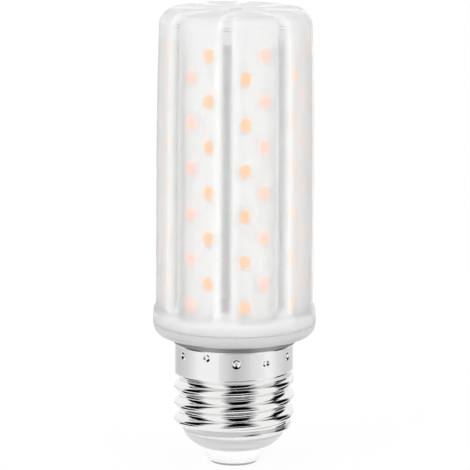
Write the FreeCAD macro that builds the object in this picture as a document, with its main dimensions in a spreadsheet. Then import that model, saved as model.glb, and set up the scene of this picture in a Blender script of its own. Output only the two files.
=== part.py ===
import FreeCAD, Part

import math
import os
import re

import Sketcher

# LED bulb with an E27 screw cap, cap down, in millimetres.
# The origin is the middle of the centre contact's lower face, and +Z runs up the bulb's axis.

doc = FreeCAD.newDocument("led_bulb")
sizes = doc.addObject("Spreadsheet::Sheet", "sizes")

# Sizes that can be set by themselves, grouped by the piece that they belong to.
DRIVING = {
    "contact_radius": 5.05,
    "contact_thickness": 0.55,
    "contact_edge": 0.2,
    "contact_stem_radius": 1.2,
    "contact_stem_rise": 4.6,
    "insulator_foot_radius": 5.6,
    "insulator_flange_reach": 0.8,
    "insulator_flange_height": 1.1,
    "insulator_clearance": 0.06,
    "lip_radius": 8.0,
    "lip_height": 4.0,
    "shoulder_middle_tuck": 1.75,
    "shoulder_middle_rise": 1.85,
    "shoulder_rise": 4.8,
    "thread_foot_rise": 3.6,
    "thread_rise": 12.3,
    "thread_crest_radius": 13.18,
    "thread_depth": 1.095,
    "thread_pitch": 3.629,
    "thread_crest_width": 0.6,
    "thread_root_width": 2.9,
    "thread_lead_in": 0.17,
    "thread_fade": 1.5,
    "skirt_step": 0.16,
    "skirt_rise": 6.75,
    "rim_flare": 0.4,
    "rim_band": 1.45,
    "shell_sheet": 0.3,
    "neck_clearance": 0.15,
    "neck_length": 7.4,
    "neck_wall": 1.3,
    "bowl_foot_tuck": 1.15,
    "bowl_rise": 3.1,
    "bowl_bulge": 0.65,
    "collar_step": 0.6,
    "collar_rise": 2.2,
    "collar_blend_rise": 1.8,
    "plug_clearance": 0.1,
    "shelf_rise": 1.6,
    "cover_foot_radius": 17.1,
    "cover_middle_taper": 0.07,
    "cover_middle_lift": 1.5,
    "cover_top_taper": 0.48,
    "cover_height": 99.8,
    "cover_shoulder_round": 3.3,
    "cover_wall": 0.8,
    "cover_crown_wall": 1.1,
    "flute_count": 8,
    "flute_phase": -5.8,
    "flute_cutter_radius": 1.96,
    "flute_depth": 0.9,
    "flute_crown_depth": 0.45,
    "flute_crown_end": 4.0,
    "flute_foot_gap": 1.5,
    "gate_dimple_radius": 1.1,
    "gate_dimple_depth": 0.3,
    "led_clearance": 0.67,
    "board_thickness": 1.0,
    "board_gap": 2.93,
    "board_margin": 2.2,
    "tab_width": 5.0,
    "tab_solder": 0.6,
    "tab_clearance": 0.1,
    "link_thickness": 1.0,
    "link_clearance": 0.2,
    "link_overhang": 0.35,
    "led_per_column": 6,
    "led_foot_gap": 3.6,
    "led_top_gap": 8.17,
    "led_column_tuck": 0.1,
    "led_width": 2.8,
    "led_length": 3.5,
    "led_thickness": 0.75,
    "driver_width": 19.6,
    "driver_thickness": 1.2,
    "driver_foot_height": 10.5,
    "driver_top_gap": 1.2,
    "rail_wall": 1.2,
    "rail_reach": 1.6,
    "rail_clearance": 0.1,
    "pin_width": 0.6,
    "pin_clearance": 0.1,
    "pin_tail": 0.6,
    "standoff": 0.3,
    "bulk_capacitor_radius": 4.0,
    "bulk_capacitor_length": 12.5,
    "bulk_capacitor_across": -4.6,
    "bulk_capacitor_foot": 13.5,
    "bulk_capacitor_pins": 2.5,
    "film_capacitor_width": 6.0,
    "film_capacitor_length": 5.5,
    "film_capacitor_depth": 3.2,
    "film_capacitor_foot": 13.0,
    "film_capacitor_pins": 4.0,
    "bridge_width": 6.4,
    "bridge_length": 5.0,
    "bridge_depth": 2.4,
    "bridge_gap": 1.7,
    "bridge_pins": 4.6,
    "bridge_pin_inset": 0.8,
    "rail_to_bridge": 0.4,
    "chip_width": 3.9,
    "chip_length": 4.9,
    "chip_depth": 1.5,
    "chip_gap": 1.45,
    "sense_resistor_width": 3.2,
    "sense_resistor_length": 1.6,
    "sense_resistor_depth": 0.6,
    "sense_resistor_gap": 1.9,
    "fuse_radius": 1.4,
    "fuse_length": 5.6,
    "fuse_pins": 8.4,
    "fuse_gap": 1.0,
    "choke_flange_radius": 4.2,
    "choke_waist_radius": 2.1,
    "choke_flange": 1.3,
    "choke_length": 9.0,
    "choke_across": -4.0,
    "choke_foot": 13.4,
    "choke_pins": 5.2,
    "pin_drop": 1.0,
    "winding_clearance": 0.1,
    "wire_radius": 0.55,
    "wire_clearance": 0.1,
    "live_wire_rise": 8.0,
    "neutral_wire_across": 7.4,
    "neutral_wire_height": 9.2,
    "neutral_wire_lap": 3.5,
    "rail_to_led_wire": 1.35,
    "led_wire_length": 8.0,
    "led_wire_tail": 0.8,
}

# Sizes that follow from the ones above.
FOLLOWING = {
    "thread_root_radius": "thread_crest_radius - thread_depth",
    "thread_foot_height": "lip_height + thread_foot_rise",
    "thread_start_height": "thread_foot_height + thread_lead_in",
    "thread_top_height": "thread_foot_height + thread_rise",
    "shoulder_middle_radius": "thread_root_radius - shoulder_middle_tuck",
    "shoulder_middle_height": "lip_height + shoulder_middle_rise",
    "shoulder_top_height": "lip_height + shoulder_rise",
    "shoulder_slope": "(thread_root_radius - lip_radius) / (shoulder_rise + shell_sheet / 4)",
    "skirt_radius": "thread_crest_radius - skirt_step",
    "rim_radius": "skirt_radius + rim_flare",
    "rim_foot_height": "thread_top_height + skirt_rise",
    "rim_height": "rim_foot_height + rim_band",
    "insulator_neck_radius": "lip_radius - shell_sheet",
    "insulator_seat_rise": "(insulator_flange_reach + insulator_clearance) / shoulder_slope",
    "insulator_seat_height": "lip_height + shell_sheet / 4 + insulator_seat_rise",
    "insulator_flange_radius": "insulator_neck_radius + insulator_flange_reach",
    "insulator_top_height": "insulator_seat_height + insulator_flange_height",
    "parting_height": "rim_height + bowl_rise",
    "neck_radius": "skirt_radius - shell_sheet - neck_clearance",
    "neck_foot_height": "rim_height - neck_length",
    "neck_bore_radius": "neck_radius - neck_wall",
    "cover_middle_radius": "cover_foot_radius - cover_middle_taper",
    "cover_middle_height": "(parting_height + cover_height) / 2 + cover_middle_lift",
    "cover_top_radius": "cover_middle_radius - cover_top_taper",
    "cover_bore_radius": "cover_foot_radius - cover_wall",
    "plug_radius": "cover_bore_radius - plug_clearance",
    "shelf_height": "parting_height + shelf_rise",
    "collar_height": "parting_height + collar_rise",
    "collar_top_height": "collar_height + collar_blend_rise",
    "collar_radius": "cover_foot_radius + collar_step",
    "bowl_foot_radius": "(rim_radius + collar_radius) / 2 - bowl_foot_tuck",
    "bowl_middle_radius": "(bowl_foot_radius + collar_radius) / 2 + bowl_bulge",
    "bowl_middle_height": "rim_height + bowl_rise / 2 - bowl_bulge",
    "cover_shoulder_height": "cover_height - cover_shoulder_round",
    "cover_shoulder_centre": "cover_top_radius - cover_shoulder_round",
    "inner_shoulder_round": "cover_shoulder_round - cover_wall",
    "inner_shoulder_height": "cover_height - cover_crown_wall - inner_shoulder_round",
    "flute_foot_height": "collar_top_height + flute_foot_gap",
    "flute_foot_ledge": "flute_foot_height - cover_wall",
    "flute_crown_length": "cover_shoulder_centre - flute_crown_end",
    "flute_crown_slope": "atan(flute_crown_depth / flute_crown_length)",
    "board_angle": "flute_phase + 180 / flute_count",
    "board_face": "cover_top_radius - cover_wall - led_clearance - led_thickness",
    "board_back": "board_face - board_thickness",
    "board_width": "2 * board_face * tan(180 / flute_count) - board_gap",
    "board_foot_height": "shelf_height + link_thickness",
    "top_link_radius": "board_face + link_overhang",
    "led_column_offset": "board_width / 4 - led_column_tuck",
    "led_first_height": "board_foot_height + led_foot_gap",
    "led_last_height": "cover_height - led_top_gap",
    "led_pitch": "(led_last_height - led_first_height) / (led_per_column - 0.5)",
    "board_top_height": "led_last_height + board_margin",
    "tab_top_height": "board_top_height + link_thickness + tab_solder",
    "bottom_link_radius": "cover_bore_radius - link_clearance",
    "driver_top_height": "shelf_height - driver_top_gap",
    "driver_face": "driver_thickness / 2",
    "rail_inner": "driver_width / 2 - rail_reach",
    "right_parts_across": "rail_inner - rail_to_bridge - bridge_width / 2",
    "led_wire_across": "rail_inner - rail_to_led_wire - wire_radius",
    "film_middle_height": "film_capacitor_foot + film_capacitor_length / 2",
    "bridge_foot": "film_capacitor_foot + film_capacitor_length + bridge_gap",
    "chip_foot": "film_middle_height + chip_gap",
    "sense_resistor_foot": "chip_foot + chip_length + sense_resistor_gap",
    "bulk_capacitor_top": "bulk_capacitor_foot + bulk_capacitor_length",
    "fuse_middle_height": "max(bulk_capacitor_top; bridge_foot + bridge_length) + fuse_gap + fuse_radius",
    "pin_reach": "driver_face + pin_tail",
    "pin_hole_half": "pin_width / 2 + pin_clearance",
    "wire_hole_radius": "wire_radius + wire_clearance",
    "wire_depth": "driver_face + wire_radius + wire_clearance",
    "neutral_wire_reach": "thread_root_radius - shell_sheet - wire_radius",
}
for row, (alias, content) in enumerate({**DRIVING, **FOLLOWING}.items(), start=1):
    sizes.set(f"A{row}", alias)
    sizes.set(f"B{row}", f"={content}" if alias in FOLLOWING else str(content))
    sizes.setAlias(f"B{row}", alias)
doc.recompute()


def bound(formula):
    # The formula with each size named as a cell of the sheet.
    names = DRIVING.keys() | FOLLOWING.keys()
    return re.sub(r"[a-z_]+", lambda word: f"sizes.{word[0]}" if word[0] in names else word[0], formula)


def value(formula):
    return float(sizes.evalExpression(formula))


def point(across, depth, height):
    return FreeCAD.Vector(value(across), value(depth), value(height))


# Sketches

def sketch_on(body, name, role, offset="0"):
    # A sketch on one of the body's own origin planes, moved along that plane's normal.
    sketch = body.newObject("Sketcher::SketchObject", name)
    plane = next(feature for feature in body.Origin.OriginFeatures if feature.Role == role)
    sketch.AttachmentSupport = [(plane, "")]
    sketch.MapMode = "FlatFace"
    sketch.setExpression("AttachmentOffset.Base.z", bound(offset))
    return sketch


def arc_between(start, end, radius, left_turn):
    # The shorter arc of that radius from start to end, and whether it runs from start to end.
    middle = (start + end) / 2
    chord = end - start
    normal = FreeCAD.Vector(-chord.y, chord.x, 0).normalize()
    rise = math.sqrt(max(radius ** 2 - (chord.Length / 2) ** 2, 0))
    centre = middle + normal * (rise if left_turn else -rise)
    first, last = (start, end) if left_turn else (end, start)
    angles = [math.atan2(spot.y - centre.y, spot.x - centre.x) for spot in (first, last)]
    circle = Part.Circle(centre, FreeCAD.Vector(0, 0, 1), radius)
    return Part.ArcOfCircle(circle, angles[0], angles[1])


def place_corner(sketch, edge, vertex, across, up):
    # Ties one end of an edge to its two distances from the sketch's origin.
    for kind, axis, formula in (("DistanceX", -2, across), ("DistanceY", -1, up)):
        if formula == "0":
            sketch.addConstraint(Sketcher.Constraint("PointOnObject", edge, vertex, axis))
            continue
        index = sketch.addConstraint(Sketcher.Constraint(kind, -1, 1, edge, vertex, value(formula)))
        sketch.setExpression(f"Constraints[{index}]", bound(formula))


def outline(sketch, corners, arcs=None):
    # A closed outline through the corners. arcs gives an edge's radius, and True where it turns left.
    arcs = arcs or {}
    spots = [FreeCAD.Vector(value(across), value(up), 0) for across, up in corners]
    first_edge = sketch.GeometryCount
    ends = []
    for index, start in enumerate(spots):
        end = spots[(index + 1) % len(spots)]
        if index in arcs:
            radius, left_turn = arcs[index]
            sketch.addGeometry(arc_between(start, end, value(radius), left_turn), False)
            ends.append((1, 2) if left_turn else (2, 1))
        else:
            sketch.addGeometry(Part.LineSegment(start, end), False)
            ends.append((1, 2))
    for index, (across, up) in enumerate(corners):
        following = (index + 1) % len(corners)
        sketch.addConstraint(
            Sketcher.Constraint(
                "Coincident", first_edge + index, ends[index][1], first_edge + following, ends[following][0]
            )
        )
        place_corner(sketch, first_edge + index, ends[index][0], across, up)
    for index, (radius, left_turn) in arcs.items():
        number = sketch.addConstraint(Sketcher.Constraint("Radius", first_edge + index, value(radius)))
        sketch.setExpression(f"Constraints[{number}]", bound(radius))


def hole(sketch, across, up, radius):
    centre = FreeCAD.Vector(value(across), value(up), 0)
    circle = sketch.addGeometry(Part.Circle(centre, FreeCAD.Vector(0, 0, 1), value(radius)), False)
    place_corner(sketch, circle, 3, across, up)
    number = sketch.addConstraint(Sketcher.Constraint("Radius", circle, value(radius)))
    sketch.setExpression(f"Constraints[{number}]", bound(radius))


# Features

def new_body(label):
    body = doc.addObject("PartDesign::Body", label)
    body.Label = label
    return body


def turn(body, name, corners, arcs=None):
    # Revolves an outline of radius against height about the bulb's axis.
    sketch = sketch_on(body, name + "_profile", "XZ_Plane")
    outline(sketch, corners, arcs)
    revolution = body.newObject("PartDesign::Revolution", name)
    revolution.Profile = sketch
    revolution.ReferenceAxis = (sketch, ["V_Axis"])
    revolution.Angle = 360
    return revolution


def pad(body, name, sketch, length):
    feature = body.newObject("PartDesign::Pad", name)
    feature.Profile = sketch
    feature.setExpression("Length", bound(length))
    return feature


def repeat(body, name, feature, count):
    # Copies of a feature, evenly spaced about the bulb's axis.
    axis = next(item for item in body.Origin.OriginFeatures if item.Role == "Z_Axis")
    pattern = body.newObject("PartDesign::PolarPattern", name)
    pattern.Originals = [feature]
    pattern.Axis = (axis, [""])
    pattern.Angle = 360
    pattern.setExpression("Occurrences", bound(count))
    body.Tip = pattern
    return pattern


def cut(label, base, tool):
    feature = doc.addObject("Part::Cut", label)
    feature.Base = base
    feature.Tool = tool
    feature.Label = label
    return feature


def fuse(label, base, tool):
    feature = doc.addObject("Part::Fuse", label)
    feature.Base = base
    feature.Tool = tool
    feature.Label = label
    return feature


def built(label, shape):
    # A sub-part whose shape is worked out from the sheet by the functions below.
    feature = doc.addObject("Part::Feature", label)
    feature.Shape = shape
    feature.Label = label
    return feature


def bent_rod(spots, radius):
    # A round wire along straight runs with mitred corners.
    section = Part.Wire(Part.makeCircle(radius, spots[0], spots[1] - spots[0]))
    return Part.makePolygon(spots).makePipeShell([section], True, False, 1)


def block(across, depth, foot, width, thickness, length):
    # A box centred on its across, from its depth towards +Y, standing on its foot.
    corner = FreeCAD.Vector(across - width / 2, depth, foot)
    return Part.makeBox(width, thickness, length, corner)


def rod(radius, length, across, depth, foot):
    return Part.makeCylinder(radius, length, FreeCAD.Vector(across, depth, foot))


def about_axis(shape, degrees):
    turned = shape.copy()
    turned.rotate(FreeCAD.Vector(0, 0, 0), FreeCAD.Vector(0, 0, 1), degrees)
    return turned


# Centre contact and insulator

contact = new_body("centre_contact")
turn(
    contact,
    "contact_disc",
    [
        ("0", "0"),
        ("contact_radius - contact_edge", "0"),
        ("contact_radius", "contact_edge"),
        ("contact_radius", "contact_thickness"),
        ("contact_stem_radius", "contact_thickness"),
        ("contact_stem_radius", "contact_thickness + contact_stem_rise"),
        ("0", "contact_thickness + contact_stem_rise"),
    ],
)

insulator = new_body("cap_insulator")
turn(
    insulator,
    "insulator_cone",
    [
        ("contact_stem_radius", "contact_thickness"),
        ("insulator_foot_radius", "contact_thickness"),
        ("insulator_neck_radius", "lip_height - shell_sheet"),
        ("insulator_neck_radius", "insulator_seat_height"),
        ("insulator_flange_radius", "insulator_seat_height"),
        ("insulator_flange_radius", "insulator_top_height"),
        ("contact_stem_radius", "insulator_top_height"),
    ],
)


# Screw shell: one pressed sheet, from the lip over the knuckle thread to the flared rim

shell_outside = new_body("shell_outside")
turn(
    shell_outside,
    "shell_skin",
    [
        ("0", "lip_height"),
        ("lip_radius", "lip_height"),
        ("shoulder_middle_radius", "shoulder_middle_height"),
        ("thread_root_radius", "shoulder_top_height"),
        ("thread_root_radius", "thread_top_height - shell_sheet"),
        ("skirt_radius", "thread_top_height - shell_sheet"),
        ("skirt_radius", "rim_foot_height"),
        ("rim_radius", "rim_foot_height"),
        ("rim_radius", "rim_height"),
        ("0", "rim_height"),
    ],
)
shell_inside = new_body("shell_inside")
turn(
    shell_inside,
    "shell_hollow",
    [
        ("0", "contact_thickness"),
        ("lip_radius - shell_sheet", "contact_thickness"),
        ("lip_radius - shell_sheet", "lip_height + shell_sheet / 4"),
        ("thread_root_radius - shell_sheet", "shoulder_top_height + shell_sheet / 2"),
        ("thread_root_radius - shell_sheet", "thread_top_height"),
        ("skirt_radius - shell_sheet", "thread_top_height"),
        ("skirt_radius - shell_sheet", "rim_height + rim_band"),
        ("0", "rim_height + rim_band"),
    ],
)

# The thread is a ridge wound round the root, faded out at both ends by a barrel-shaped envelope.
ridge_profile = doc.addObject("Sketcher::SketchObject", "thread_profile")
ridge_profile.Placement = FreeCAD.Placement(FreeCAD.Vector(), FreeCAD.Rotation(FreeCAD.Vector(1, 0, 0), 90))
outline(
    ridge_profile,
    [
        ("thread_root_radius - shell_sheet / 2", "thread_start_height - thread_root_width / 2"),
        ("thread_crest_radius", "thread_start_height - thread_crest_width / 2"),
        ("thread_crest_radius", "thread_start_height + thread_crest_width / 2"),
        ("thread_root_radius - shell_sheet / 2", "thread_start_height + thread_root_width / 2"),
    ],
)
ridge_path = doc.addObject("Part::Helix", "thread_helix")
ridge_path.setExpression("Pitch", bound("thread_pitch"))
ridge_path.setExpression("Height", bound("thread_rise"))
ridge_path.setExpression("Radius", bound("thread_root_radius"))
ridge_path.setExpression("Placement.Base.z", bound("thread_start_height"))
doc.recompute()
ridge = doc.addObject("Part::Sweep", "thread_ridge")
ridge.Sections = [ridge_profile]
ridge.Spine = (ridge_path, ["Edge1"])
ridge.Solid = True
ridge.Frenet = True
envelope = new_body("thread_envelope")
turn(
    envelope,
    "envelope_barrel",
    [
        ("0", "thread_foot_height"),
        ("thread_root_radius - thread_depth", "thread_foot_height"),
        ("thread_crest_radius + shell_sheet", "thread_foot_height + thread_fade"),
        ("thread_crest_radius + shell_sheet", "thread_top_height - thread_fade"),
        ("skirt_radius - shell_sheet / 2", "thread_top_height"),
        ("0", "thread_top_height"),
    ],
)
thread = doc.addObject("Part::Common", "thread")
thread.Base = ridge
thread.Tool = envelope
shell = cut("screw_shell", fuse("threaded_blank", shell_outside, thread), shell_inside)


# Base housing: bowl, neck inside the skirt, plug inside the cover and rails for the driver board

housing = new_body("base_housing")
turn(
    housing,
    "housing_section",
    [
        ("neck_bore_radius", "neck_foot_height"),
        ("neck_radius", "neck_foot_height"),
        ("neck_radius", "rim_height"),
        ("bowl_foot_radius", "rim_height"),
        ("bowl_middle_radius", "bowl_middle_height"),
        ("collar_radius", "parting_height"),
        ("plug_radius", "parting_height"),
        ("plug_radius", "shelf_height"),
        ("neck_bore_radius", "shelf_height"),
    ],
)
rail_sketch = sketch_on(housing, "rail_profile", "XY_Plane", "neck_foot_height")
rail_outer = "neck_bore_radius + neck_wall / 2"
slot_end = "driver_width / 2 + rail_clearance"
slot_side = "driver_face + rail_clearance"
rail_side = "driver_face + rail_clearance + rail_wall"
outline(
    rail_sketch,
    [
        ("rail_inner", f"-({rail_side})"),
        (rail_outer, f"-({rail_side})"),
        (rail_outer, rail_side),
        ("rail_inner", rail_side),
        ("rail_inner", slot_side),
        (slot_end, slot_side),
        (slot_end, f"-({slot_side})"),
        ("rail_inner", f"-({slot_side})"),
    ],
)
rail = pad(housing, "rail", rail_sketch, "neck_length")
repeat(housing, "rails", rail, "2")


# Cover: a fluted tube with a closed crown, its wall following the flutes inside

def fluted_outline(radius, depth, cutter, height):
    # One level of the cover: lobes about the axis, parted by grooves of the cutter's radius.
    axis = radius - depth + cutter
    half = math.acos((radius ** 2 + axis ** 2 - cutter ** 2) / (2 * radius * axis))
    count = round(value("flute_count"))
    step = 2 * math.pi / count
    first = math.radians(value("flute_phase")) - math.pi / 2

    def spot(reach, angle):
        return FreeCAD.Vector(reach * math.cos(angle), reach * math.sin(angle), height)

    edges = []
    for index in range(count):
        groove = first + step * index
        lobe_start, lobe_end = groove + half, groove + step - half
        sides = [(groove - half, radius - depth, groove), (lobe_start, radius, groove + step / 2)]
        for (start, reach, middle), end in zip(sides, (lobe_start, lobe_end)):
            edges.append(Part.Arc(spot(radius, start), spot(reach, middle), spot(radius, end)).toShape())
    return Part.Wire(edges)


def rounded_levels(centre, height, radius, steps):
    # The shoulder's round as levels, with the flutes growing shallower towards the crown.
    deep, shallow = value("flute_depth"), value("flute_crown_depth")
    return [
        (
            centre + radius * math.cos(math.pi / 2 * step / steps),
            deep + (shallow - deep) * step / steps,
            height + radius * math.sin(math.pi / 2 * step / steps),
        )
        for step in range(steps + 1)
    ]


def fluted_tube(label, levels, cutter):
    outlines = [fluted_outline(radius, depth, cutter, height) for radius, depth, height in levels]
    return built(label, Part.makeLoft(outlines, True, True))


def crown_cutters():
    # Round cutters laid over the crown, which they leave towards its middle.
    radius = value("flute_cutter_radius")
    slope = math.radians(value("flute_crown_slope"))
    end = point("flute_crown_end", "0", "cover_height + flute_cutter_radius")
    outward = FreeCAD.Vector(math.cos(slope), 0, -math.sin(slope))
    cutter = Part.makeCylinder(radius, value("cover_top_radius"), end, outward)
    count = round(value("flute_count"))
    first = value("flute_phase") - 90
    return Part.makeCompound([about_axis(cutter, first + 360 / count * index) for index in range(count)])


flute_depth = value("flute_depth")
cover_tube = fluted_tube(
    "cover_tube",
    [
        (value("cover_foot_radius"), flute_depth, value("flute_foot_height")),
        (value("cover_middle_radius"), flute_depth, value("cover_middle_height")),
    ]
    + rounded_levels(
        value("cover_shoulder_centre"), value("cover_shoulder_height"), value("cover_shoulder_round"), 3
    ),
    value("flute_cutter_radius"),
)
cover_foot = new_body("cover_foot")
turn(
    cover_foot,
    "cover_foot_section",
    [
        ("0", "parting_height"),
        ("collar_radius", "parting_height"),
        ("collar_radius", "collar_height"),
        ("cover_foot_radius", "collar_top_height"),
        ("cover_foot_radius", "flute_foot_height"),
        ("0", "flute_foot_height"),
    ],
)
hollow_tube = fluted_tube(
    "hollow_tube",
    [(value("cover_bore_radius"), flute_depth, value("flute_foot_ledge"))]
    + rounded_levels(
        value("cover_shoulder_centre"), value("inner_shoulder_height"), value("inner_shoulder_round"), 2
    ),
    value("flute_cutter_radius + cover_wall"),
)
hollow_foot = new_body("hollow_foot")
turn(
    hollow_foot,
    "hollow_foot_section",
    [
        ("0", "rim_height"),
        ("cover_bore_radius", "rim_height"),
        ("cover_bore_radius", "flute_foot_ledge"),
        ("0", "flute_foot_ledge"),
    ],
)
cover_outside = fuse("cover_outside", cover_foot, cover_tube)
cover_hollow = fuse("cover_hollow", hollow_foot, hollow_tube)
grooved = cut("grooved_cover", cover_outside, built("crown_cutters", crown_cutters()))
gate_dimple = built(
    "gate_dimple",
    rod(
        value("gate_dimple_radius"),
        value("2 * gate_dimple_depth"),
        0,
        0,
        value("cover_height - gate_dimple_depth"),
    ),
)
cover = cut("cover", cut("dimpled_cover", grooved, gate_dimple), cover_hollow)


# Light engine: eight strips with two staggered columns of LEDs, joined by a link board at each end

def tab_outline():
    # Half of a strip's outline, from its foot tab up to its head tab, then the other half.
    wide = "board_width / 2"
    narrow = "tab_width / 2"
    right = [
        (narrow, "shelf_height"),
        (narrow, "board_foot_height"),
        (wide, "board_foot_height"),
        (wide, "board_top_height"),
        (narrow, "board_top_height"),
        (narrow, "tab_top_height"),
    ]
    left = [(f"-({across})", height) for across, height in reversed(right)]
    return right + left


def led_centres():
    # Across and height of each LED: the right column stands half a pitch above the left one.
    offset = value("led_column_offset")
    first = value("led_first_height")
    pitch = value("led_pitch")
    return [
        (offset if right else -offset, first + pitch * (place + (0.5 if right else 0)))
        for right in (False, True)
        for place in range(round(value("led_per_column")))
    ]


led_face = value("board_face + led_thickness")
package = block(
    0, -led_face, -value("led_length / 2"), value("led_width"), value("led_thickness"), value("led_length")
)
strip_leds = [package.translated(FreeCAD.Vector(across, 0, height)) for across, height in led_centres()]
strips = []
for index in range(round(value("flute_count"))):
    angle = f"board_angle + 360 / flute_count * {index}"
    board = new_body(f"led_board_{index + 1}")
    board_sketch = sketch_on(board, f"strip_{index + 1}", "XZ_Plane", "board_back")
    outline(board_sketch, tab_outline())
    pad(board, f"strip_plate_{index + 1}", board_sketch, "board_thickness")
    board.setExpression("Placement.Rotation.Angle", bound(angle))
    group = built(f"led_group_{index + 1}", Part.makeCompound(strip_leds))
    group.setExpression("Placement.Rotation.Angle", bound(angle))
    strips += [board, group]


def notched(label, radius, foot):
    # A round link board with an open notch at its rim for each strip's tab.
    body = new_body(label)
    disc = sketch_on(body, label + "_profile", "XY_Plane", foot)
    hole(disc, "0", "0", radius)
    pad(body, label + "_plate", disc, "link_thickness")
    notch_sketch = sketch_on(body, label + "_notch_profile", "XY_Plane", foot)
    half = "tab_width / 2 + tab_clearance"
    outline(
        notch_sketch,
        [
            (f"-({half})", f"-({radius}) - link_thickness"),
            (half, f"-({radius}) - link_thickness"),
            (half, "tab_clearance - board_back"),
            (f"-({half})", "tab_clearance - board_back"),
        ],
    )
    notch = body.newObject("PartDesign::Pocket", label + "_notch")
    notch.Profile = notch_sketch
    notch.setExpression("Length", bound("link_thickness"))
    notch.Reversed = True
    repeat(body, label + "_notches", notch, "flute_count")
    body.setExpression("Placement.Rotation.Angle", bound("board_angle"))
    return body


top_link = notched("top_link_board", "top_link_radius", "board_top_height")
bottom_link_plate = notched("bottom_link_plate", "bottom_link_radius", "shelf_height")
link_holes = [
    block(
        side * value("led_wire_across"),
        -value("wire_depth + wire_hole_radius"),
        value("shelf_height - link_thickness"),
        value("2 * wire_hole_radius"),
        value("2 * wire_hole_radius"),
        value("3 * link_thickness"),
    )
    for side in (-1, 1)
]
wire_holes = built("link_wire_holes", Part.makeCompound(link_holes))
bottom_link = cut("bottom_link_board", bottom_link_plate, wire_holes)


# Driver: its board stands in the housing's rails, with parts on both faces

FRONT, BACK = -1, 1


def pin_through(side, across, height, reach):
    # A square pin from its reach above one face of the board to its tail beyond the other.
    width = value("pin_width")
    start = side * reach
    stop = -side * value("pin_reach")
    return block(across, min(start, stop), height - width / 2, width, abs(start - stop), width)


def hung_pins(side, body, pins, depth, start, height):
    # Pins that leave a part's foot, turn square towards the board and pass through it.
    width = value("pin_width")
    legs = [
        block(across, side * depth - width / 2, height - width / 2, width, width, start - height + width)
        for across in pins
    ]
    tails = [pin_through(side, across, height, depth) for across in pins]
    return body.fuse(legs + tails).removeSplitter()


def pair(middle, apart):
    # Two places, one each side of the middle.
    return [value(f"{middle} - {apart} / 2"), value(f"{middle} + {apart} / 2")]


bulk_depth = value("driver_face + standoff + bulk_capacitor_radius")
bulk_pins = pair("bulk_capacitor_across", "bulk_capacitor_pins")
bulk_pin_height = value("bulk_capacitor_foot - pin_drop")
bulk_capacitor = built(
    "bulk_capacitor",
    hung_pins(
        FRONT,
        rod(
            value("bulk_capacitor_radius"),
            value("bulk_capacitor_length"),
            value("bulk_capacitor_across"),
            FRONT * bulk_depth,
            value("bulk_capacitor_foot"),
        ),
        bulk_pins,
        bulk_depth,
        value("bulk_capacitor_foot"),
        bulk_pin_height,
    ),
)

film_face = value("driver_face + film_capacitor_depth")
film_middle = value("film_middle_height")
film_box = block(
    value("right_parts_across"),
    -film_face,
    value("film_capacitor_foot"),
    value("film_capacitor_width"),
    value("film_capacitor_depth"),
    value("film_capacitor_length"),
)
film_pins = [
    pin_through(FRONT, across, film_middle, film_face / 2)
    for across in pair("right_parts_across", "film_capacitor_pins")
]
film_capacitor = built("film_capacitor", film_box.fuse(film_pins).removeSplitter())

bridge_face = value("driver_face + bridge_depth")
bridge_heights = pair("bridge_foot + bridge_length / 2", "(bridge_length - 2 * bridge_pin_inset)")
bridge_box = block(
    value("right_parts_across"),
    -bridge_face,
    value("bridge_foot"),
    value("bridge_width"),
    value("bridge_depth"),
    value("bridge_length"),
)
bridge_pins = [
    pin_through(FRONT, across, height, bridge_face / 2)
    for across in pair("right_parts_across", "bridge_pins")
    for height in bridge_heights
]
bridge = built("bridge_rectifier", bridge_box.fuse(bridge_pins).removeSplitter())

fuse_depth = value("driver_face + standoff + fuse_radius")
fuse_height = value("fuse_middle_height")
fuse_leads = [
    pin_through(FRONT, across, fuse_height, fuse_depth + value("pin_width / 2"))
    for across in pair("0", "fuse_pins")
]
fuse_lead = block(
    0,
    -fuse_depth - value("pin_width / 2"),
    fuse_height - value("pin_width / 2"),
    value("fuse_pins"),
    value("pin_width"),
    value("pin_width"),
)
fuse_barrel = Part.makeCylinder(
    value("fuse_radius"),
    value("fuse_length"),
    FreeCAD.Vector(-value("fuse_length / 2"), -fuse_depth, fuse_height),
    FreeCAD.Vector(1, 0, 0),
)
fuse = built("fuse_resistor", fuse_barrel.fuse([fuse_lead] + fuse_leads).removeSplitter())

choke_depth = value("driver_face + standoff + choke_flange_radius")
choke_across = value("choke_across")
choke_foot = value("choke_foot")
choke_pins = pair("choke_across", "choke_pins")
choke_pin_height = value("choke_foot - 2 * pin_drop")
choke_flange = value("choke_flange")
choke_waist = rod(value("choke_waist_radius"), value("choke_length"), choke_across, choke_depth, choke_foot)
choke_flanges = [
    rod(value("choke_flange_radius"), choke_flange, choke_across, choke_depth, foot)
    for foot in (choke_foot, choke_foot + value("choke_length - choke_flange"))
]
choke = built(
    "choke_core",
    hung_pins(BACK, choke_waist.fuse(choke_flanges), choke_pins, choke_depth, choke_foot, choke_pin_height),
)
winding_length = value("choke_length - 2 * choke_flange - 2 * winding_clearance")
winding_foot = value("choke_foot + choke_flange + winding_clearance")
winding_radius = value("choke_flange_radius - standoff")
winding_bore = value("choke_waist_radius + winding_clearance")
winding_coil, winding_core = [
    rod(radius, winding_length, choke_across, choke_depth, winding_foot)
    for radius in (winding_radius, winding_bore)
]
winding = built("choke_winding", winding_coil.cut(winding_core))

chip = built(
    "driver_chip",
    block(
        value("right_parts_across"), value("driver_face"), value("chip_foot"),
        value("chip_width"), value("chip_depth"), value("chip_length"),
    ),
)
sense_resistor = built(
    "sense_resistor",
    block(
        value("right_parts_across"), value("driver_face"), value("sense_resistor_foot"),
        value("sense_resistor_width"), value("sense_resistor_depth"), value("sense_resistor_length"),
    ),
)

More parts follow.
